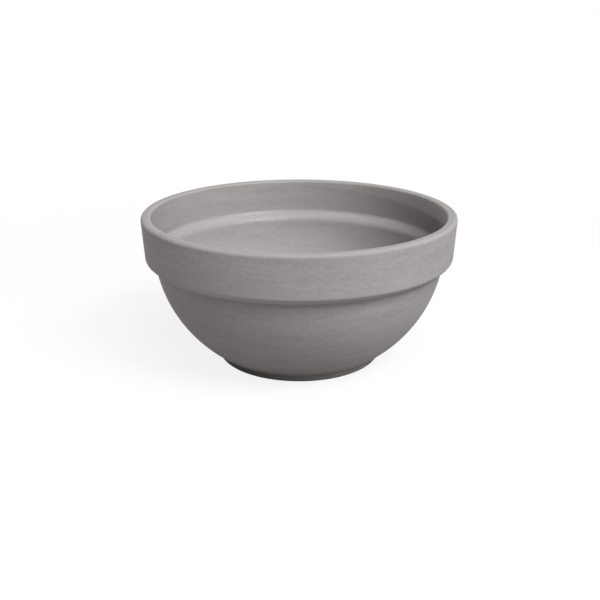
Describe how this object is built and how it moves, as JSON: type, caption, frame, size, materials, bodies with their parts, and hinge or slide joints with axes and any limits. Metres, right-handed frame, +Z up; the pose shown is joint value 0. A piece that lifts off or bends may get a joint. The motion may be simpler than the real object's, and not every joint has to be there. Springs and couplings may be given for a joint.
{
  "type": "flower pot",
  "caption": "Low round bowl planter with a thick collared rim, a sloping shoulder inside, a drain hole and a foot ring. Holds soil and plants.",
  "frame": {"origin": "on the ground, under the middle of the foot ring", "axes": "+Z up along the pot's axis of turning; X and Y are alike because the pot is round"},
  "size_m": [0.27, 0.27, 0.1296],
  "materials": {
    "fired_clay": "unglazed matt grey clay with fine marks of turning"
  },
  "bodies": {
    "root": {"rim_collar": "fired_clay", "bowl_wall": "fired_clay", "floor_slab": "fired_clay", "foot_ring": "fired_clay"}
  },
  "joints": []
}
